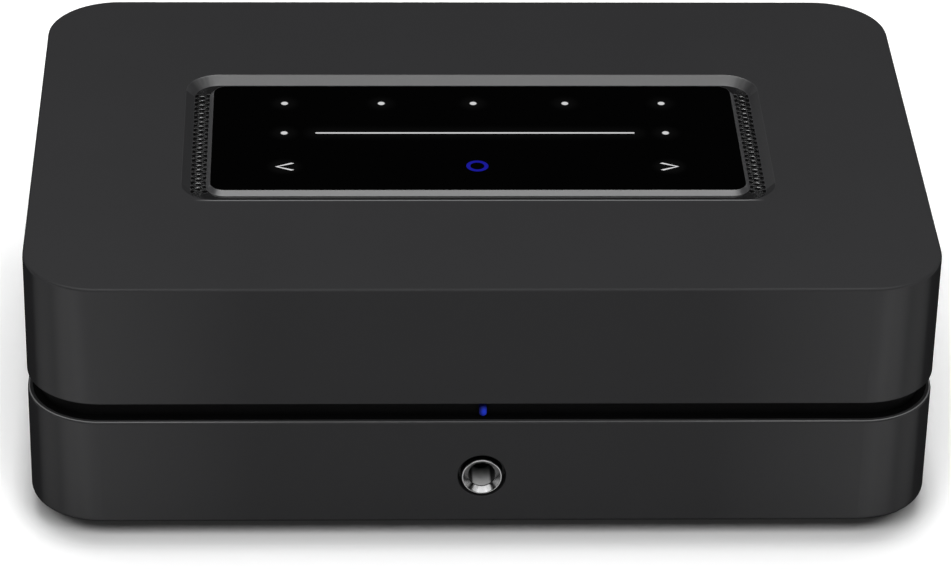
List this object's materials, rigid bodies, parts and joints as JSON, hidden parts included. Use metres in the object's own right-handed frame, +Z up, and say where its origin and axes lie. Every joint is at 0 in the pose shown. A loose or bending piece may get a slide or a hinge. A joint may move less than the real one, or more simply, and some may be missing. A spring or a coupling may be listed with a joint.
{
  "type": "streaming amplifier",
  "caption": "Compact streaming amplifier: rounded two-part metal casing with a recessed dark band, a touch glass panel on top, a front headphone socket and rear terminals.",
  "frame": {"origin": "under the middle of the whole amplifier, on the surface that the feet stand on", "axes": "+X to the right seen from the front, +Y to the rear where the sockets are, +Z up"},
  "size_m": [0.22, 0.1724, 0.071],
  "materials": {
    "casing_metal": "dark grey, fine matt blasted and anodised",
    "grille_metal": "satin dark grey",
    "bezel_plastic": "satin moulded",
    "black_glass": "polished, printed black behind",
    "icon_white": "lit from behind",
    "icon_blue": "lit from behind",
    "clear_plastic": "clear moulded",
    "circuit_board": "solder mask",
    "black_moulding": "fine moulded grain",
    "screw_steel": "zinc plated",
    "flat_cable": "film",
    "blue_lens": "lit from behind",
    "foot_rubber": "soft matt",
    "chrome_plate": "polished",
    "contact_brass": "gold plated",
    "washer_steel": "nickel plated",
    "black_cap": "smooth moulded",
    "red_cap": "smooth moulded",
    "port_steel": "tin plated",
    "sheet_plastic": "film",
    "sink_metal": "extruded",
    "chip_plastic": "moulded",
    "pad_rubber": "soft",
    "core_metal": "ferrite",
    "can_metal": "sleeved"
  },
  "bodies": {
    "amplifier": {"amplifier_chips": "chip_plastic", "antennas": "contact_brass", "board_link": "black_moulding", "case_screws": "screw_steel", "feet": "foot_rubber", "hdmi_socket": "port_steel", "headphone_board": "circuit_board", "heat_sink": "sink_metal", "icon_windows": "icon_white", "indicator_board": "circuit_board", "indicator_lens": "blue_lens", "inner_screws": "screw_steel", "insulating_sheet": "sheet_plastic", "jack_sockets": "black_moulding", "lower_case": "casing_metal", "main_board": "circuit_board", "mains_filter_choke": "core_metal", "mains_inlet": "black_moulding", "mains_inlet_pins": "contact_brass", "mains_transformer": "core_metal", "mid_frame": "black_moulding", "network_socket": "port_steel", "output_inductors": "core_metal", "panel_bezel": "bezel_plastic", "panel_carrier": "black_moulding", "phone_socket_body": "black_moulding", "phone_socket_contacts": "contact_brass", "phone_socket_ring": "chrome_plate", "port_tongues": "black_moulding", "power_board": "circuit_board", "power_ring_window": "icon_blue", "processor_chip": "chip_plastic", "radio_shield": "port_steel", "rear_panel": "black_moulding", "rear_panel_screws": "screw_steel", "reservoir_capacitors": "can_metal", "setup_switch": "black_moulding", "small_screws": "screw_steel", "speaker_output_board": "circuit_board", "sub_out_insulator": "black_moulding", "sub_out_socket": "contact_brass", "terminal_block": "black_moulding", "terminal_studs": "contact_brass", "thermal_pads": "pad_rubber", "touch_board": "circuit_board", "touch_cable": "flat_cable", "touch_glass": "black_glass", "touch_light_guide": "clear_plastic", "upper_cover": "casing_metal", "usb_socket": "port_steel", "vent_grille": "grille_metal"},
    "clamp_right_minus": {"clamp_washer_right_minus": "washer_steel"},
    "knob_right_minus": {"terminal_knob_right_minus": "black_cap"},
    "clamp_right_plus": {"clamp_washer_right_plus": "washer_steel"},
    "knob_right_plus": {"terminal_knob_right_plus": "red_cap"},
    "clamp_left_minus": {"clamp_washer_left_minus": "washer_steel"},
    "knob_left_minus": {"terminal_knob_left_minus": "black_cap"},
    "clamp_left_plus": {"clamp_washer_left_plus": "washer_steel"},
    "knob_left_plus": {"terminal_knob_left_plus": "red_cap"},
    "setup_button": {"setup_button": "black_moulding"}
  },
  "joints": [
    {"name": "clamp_slide_right_minus", "type": "slide", "parent": "amplifier", "child": "clamp_right_minus", "axis": [0, 1, 0], "range_m": [0, 0.004]},
    {"name": "knob_turn_right_minus", "type": "hinge", "parent": "clamp_right_minus", "child": "knob_right_minus", "pos_m": [-0.048, 0.06725, 0.0204], "axis": [0, 1, 0], "range_deg": [0, 1800]},
    {"name": "clamp_slide_right_plus", "type": "slide", "parent": "amplifier", "child": "clamp_right_plus", "axis": [0, 1, 0], "range_m": [0, 0.004]},
    {"name": "knob_turn_right_plus", "type": "hinge", "parent": "clamp_right_plus", "child": "knob_right_plus", "pos_m": [-0.029, 0.06725, 0.0204], "axis": [0, 1, 0], "range_deg": [0, 1800]},
    {"name": "clamp_slide_left_minus", "type": "slide", "parent": "amplifier", "child": "clamp_left_minus", "axis": [0, 1, 0], "range_m": [0, 0.004]},
    {"name": "knob_turn_left_minus", "type": "hinge", "parent": "clamp_left_minus", "child": "knob_left_minus", "pos_m": [-0.01, 0.06725, 0.0204], "axis": [0, 1, 0], "range_deg": [0, 1800]},
    {"name": "clamp_slide_left_plus", "type": "slide", "parent": "amplifier", "child": "clamp_left_plus", "axis": [0, 1, 0], "range_m": [0, 0.004]},
    {"name": "knob_turn_left_plus", "type": "hinge", "parent": "clamp_left_plus", "child": "knob_left_plus", "pos_m": [0.009, 0.06725, 0.0204], "axis": [0, 1, 0], "range_deg": [0, 1800]},
    {"name": "setup_press", "type": "slide", "parent": "amplifier", "child": "setup_button", "axis": [0, -1, 0], "range_m": [0, 0.0008], "stiffness_N_per_m": 200, "springref_m": -0.001}
  ],
  "couplings": [
    {"joint": "knob_turn_right_minus", "follows": "clamp_slide_right_minus", "rad_per_m": 7854},
    {"joint": "knob_turn_right_plus", "follows": "clamp_slide_right_plus", "rad_per_m": 7854},
    {"joint": "knob_turn_left_minus", "follows": "clamp_slide_left_minus", "rad_per_m": 7854},
    {"joint": "knob_turn_left_plus", "follows": "clamp_slide_left_plus", "rad_per_m": 7854}
  ]
}
